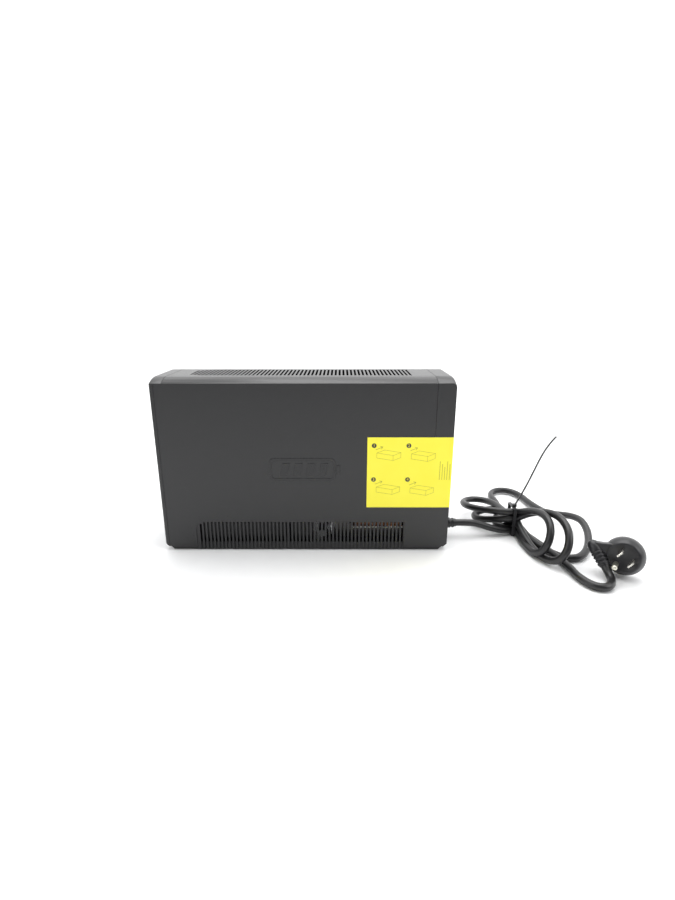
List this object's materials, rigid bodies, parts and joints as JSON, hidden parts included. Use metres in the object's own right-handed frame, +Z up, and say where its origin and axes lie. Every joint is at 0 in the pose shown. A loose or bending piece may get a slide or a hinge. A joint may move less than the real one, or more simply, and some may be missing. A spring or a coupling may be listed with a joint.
{
  "type": "uninterruptible power supply",
  "caption": "Narrow tower backup power unit with slotted vents, yellow side label, rear outlets, front battery door, and a tied mains cord with a right-angle plug.",
  "frame": {"origin": "middle of the case's footprint on the surface it stands on", "axes": "+X to the rear, where the outlets and the cord are; the front panel faces -X; +Y across the case, away from the side with the label; +Z up"},
  "size_m": [0.4962, 0.2677, 0.19],
  "materials": {
    "case_black": "fine spark texture",
    "bezel_black": "fine spark texture",
    "gloss_black": "polished",
    "display_pane": "smoked clear plastic",
    "display_glass": "liquid crystal module",
    "board_green": "solder mask",
    "switch_black": "moulded",
    "socket_black": "moulded",
    "bus_brass": "stamped",
    "battery_grey": "moulded",
    "terminal_tin": "tin plated",
    "pull_fabric": "woven tape",
    "wire_black": "insulation",
    "wire_red": "insulation",
    "core_steel": "stacked laminations, varnished",
    "bobbin_white": "moulded",
    "winding_copper": "enamelled wire",
    "strap_zinc": "zinc plated",
    "screw_steel": "zinc plated",
    "sink_aluminium": "extruded",
    "transistor_black": "moulded epoxy",
    "capacitor_sleeve": "shrink sleeve",
    "relay_blue": "moulded",
    "choke_copper": "enamelled wire on ferrite",
    "ribbon_grey": "flat cable",
    "label_yellow": "printed film",
    "cord_black": "satin sheath",
    "tie_black": "nylon",
    "plug_black": "moulded",
    "blade_nickel": "nickel plated",
    "ground_zinc": "zinc plated"
  },
  "bodies": {
    "case": {"base_tray": "case_black", "side_shell_left": "case_black", "side_shell_right": "case_black", "top_grille": "case_black", "front_bezel": "bezel_black", "lcd_window": "display_pane", "lcd_module": "display_glass", "display_board": "board_green", "tact_switches": "switch_black", "rear_panel": "case_black", "outlet_block_left": "socket_black", "outlet_block_right": "socket_black", "outlet_bus_bars": "bus_brass", "network_jacks": "socket_black", "data_port": "socket_black", "ground_screw": "screw_steel", "breaker_body": "switch_black", "battery_contacts": "bus_brass", "battery_leads": "wire_red", "transformer_core": "core_steel", "transformer_bobbin": "bobbin_white", "winding_secondary": "winding_copper", "winding_primary": "winding_copper", "transformer_strap": "strap_zinc", "transformer_screws": "screw_steel", "transformer_leads": "wire_black", "main_board": "board_green", "board_screws": "screw_steel", "heat_sinks": "sink_aluminium", "power_transistors": "transistor_black", "capacitors": "capacitor_sleeve", "relays": "relay_blue", "filter_choke": "choke_copper", "fuses": "transistor_black", "buzzer": "switch_black", "display_ribbon": "ribbon_grey", "outlet_leads": "wire_black", "shell_screws": "screw_steel", "instruction_label": "label_yellow", "cord_gland": "cord_black", "mains_leads": "wire_black", "cord_lead": "cord_black", "cord_hank": "cord_black", "cable_tie": "tie_black", "plug_body": "plug_black", "plug_blades": "blade_nickel", "plug_ground_pin": "ground_zinc", "cord_tail": "cord_black"},
    "battery": {"battery_case": "battery_grey", "battery_lid": "battery_grey", "battery_terminals": "terminal_tin", "battery_pull_tab": "pull_fabric"},
    "door": {"battery_door": "bezel_black"},
    "power": {"power_button": "gloss_black"},
    "mute": {"mute_button": "gloss_black"},
    "display": {"display_button": "gloss_black"},
    "breaker": {"breaker_button": "gloss_black"}
  },
  "joints": [
    {"name": "power_press", "type": "slide", "parent": "case", "child": "power", "axis": [1, 0, 0], "range_m": [0, 0.001], "stiffness_N_per_m": 900},
    {"name": "mute_press", "type": "slide", "parent": "case", "child": "mute", "axis": [1, 0, 0], "range_m": [0, 0.001], "stiffness_N_per_m": 900},
    {"name": "display_press", "type": "slide", "parent": "case", "child": "display", "axis": [1, 0, 0], "range_m": [0, 0.001], "stiffness_N_per_m": 900},
    {"name": "breaker_pop", "type": "slide", "parent": "case", "child": "breaker", "axis": [1, 0, 0], "range_m": [0, 0.004]},
    {"name": "battery_slide", "type": "slide", "parent": "case", "child": "battery", "axis": [-1, 0, 0], "range_m": [0, 0.165]},
    {"name": "door_slide", "type": "slide", "parent": "battery", "child": "door", "axis": [-1, 0, 0], "range_m": [0, 0.06]}
  ]
}
